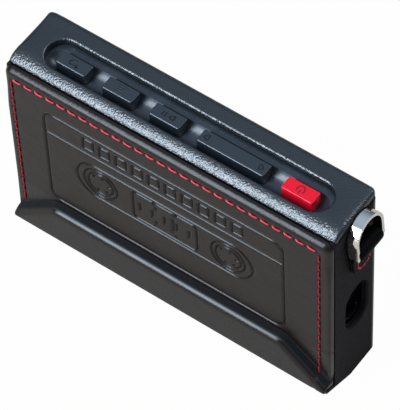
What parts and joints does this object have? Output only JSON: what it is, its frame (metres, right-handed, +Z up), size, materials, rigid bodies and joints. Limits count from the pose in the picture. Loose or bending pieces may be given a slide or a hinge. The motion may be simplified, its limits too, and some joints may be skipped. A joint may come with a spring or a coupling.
{
  "type": "music player case",
  "caption": "Leather case with a hinged top flap, key slot, side jack slot, carrying ring and lean-back foot, holding a pocket music player.",
  "frame": {"origin": "on the flat of the base, midway between the outer faces of the back and front panels and midway across the width", "axes": "+X across the case towards the ring and the jack slot, +Y towards the front window, +Z up to the flap"},
  "size_m": [0.1045, 0.0228, 0.0675],
  "materials": {
    "embossed_leather": "matte smooth leather, fine pores",
    "grained_leather": "satin, fine pebble grain",
    "wall_leather": "satin black leather, painted edges",
    "lining": "short-pile microfibre",
    "board": "pressed fibre board",
    "foam": "closed-cell foam",
    "magnet": "nickel plated",
    "chrome": "polished",
    "housing": "fine-blasted, dark blue-grey anodised",
    "circuit_board": "solder mask",
    "steel": "bright",
    "battery_foil": "foil pouch",
    "socket": "moulded",
    "screen_glass": "polished cover glass",
    "display": "dark display",
    "switch": "moulded",
    "key_black": "satin dark blue-grey",
    "key_red": "bright red anodised"
  },
  "bodies": {
    "case": {"back_panel": "embossed_leather", "ridge_core": "foam", "back_board": "board", "case_magnets": "magnet", "side_band": "wall_leather", "wall_lining": "lining", "front_panel": "wall_leather", "hinge_fold": "wall_leather", "base_pad": "foam", "back_pad": "lining", "ring_strap": "wall_leather", "player_housing": "housing", "main_board": "circuit_board", "board_screws": "steel", "shield_cans": "steel", "battery": "battery_foil", "small_jack": "socket", "large_jack": "socket", "port_board": "circuit_board", "usb_socket": "steel", "touch_glass": "screen_glass", "display": "display", "key_strip": "circuit_board", "key_switches": "switch", "rocker_post": "switch"},
    "flap": {"flap_leather": "grained_leather", "flap_lining": "lining", "flap_board": "board", "flap_tongue": "wall_leather", "flap_magnets": "magnet"},
    "carry_ring": {"ring": "chrome"},
    "back_button": {"back_key": "key_black"},
    "menu_button": {"menu_key": "key_black"},
    "play_button": {"play_key": "key_black"},
    "skip_rocker": {"skip_key": "key_black"},
    "power_button": {"power_key": "key_red"}
  },
  "joints": [
    {"name": "flap_hinge", "type": "hinge", "parent": "case", "child": "flap", "pos_m": [0, 0.009, 0.0665], "axis": [-1, 0, 0], "range_deg": [0, 180]},
    {"name": "ring_swing", "type": "hinge", "parent": "case", "child": "carry_ring", "pos_m": [0.0523, 0.0021, 0.0566], "axis": [0, 1, 0], "range_deg": [0, 165]},
    {"name": "back_press", "type": "slide", "parent": "case", "child": "back_button", "axis": [0, 0, -1], "range_m": [0, 0.0004], "stiffness_N_per_m": 2000},
    {"name": "menu_press", "type": "slide", "parent": "case", "child": "menu_button", "axis": [0, 0, -1], "range_m": [0, 0.0004], "stiffness_N_per_m": 2000},
    {"name": "play_press", "type": "slide", "parent": "case", "child": "play_button", "axis": [0, 0, -1], "range_m": [0, 0.0004], "stiffness_N_per_m": 2000},
    {"name": "power_press", "type": "slide", "parent": "case", "child": "power_button", "axis": [0, 0, -1], "range_m": [0, 0.0004], "stiffness_N_per_m": 2000},
    {"name": "skip_rock", "type": "hinge", "parent": "case", "child": "skip_rocker", "pos_m": [0.0145, -0.0001, 0.06005], "axis": [0, 1, 0], "range_deg": [-1.5, 1.5], "stiffness_Nm_per_rad": 0.5}
  ]
}
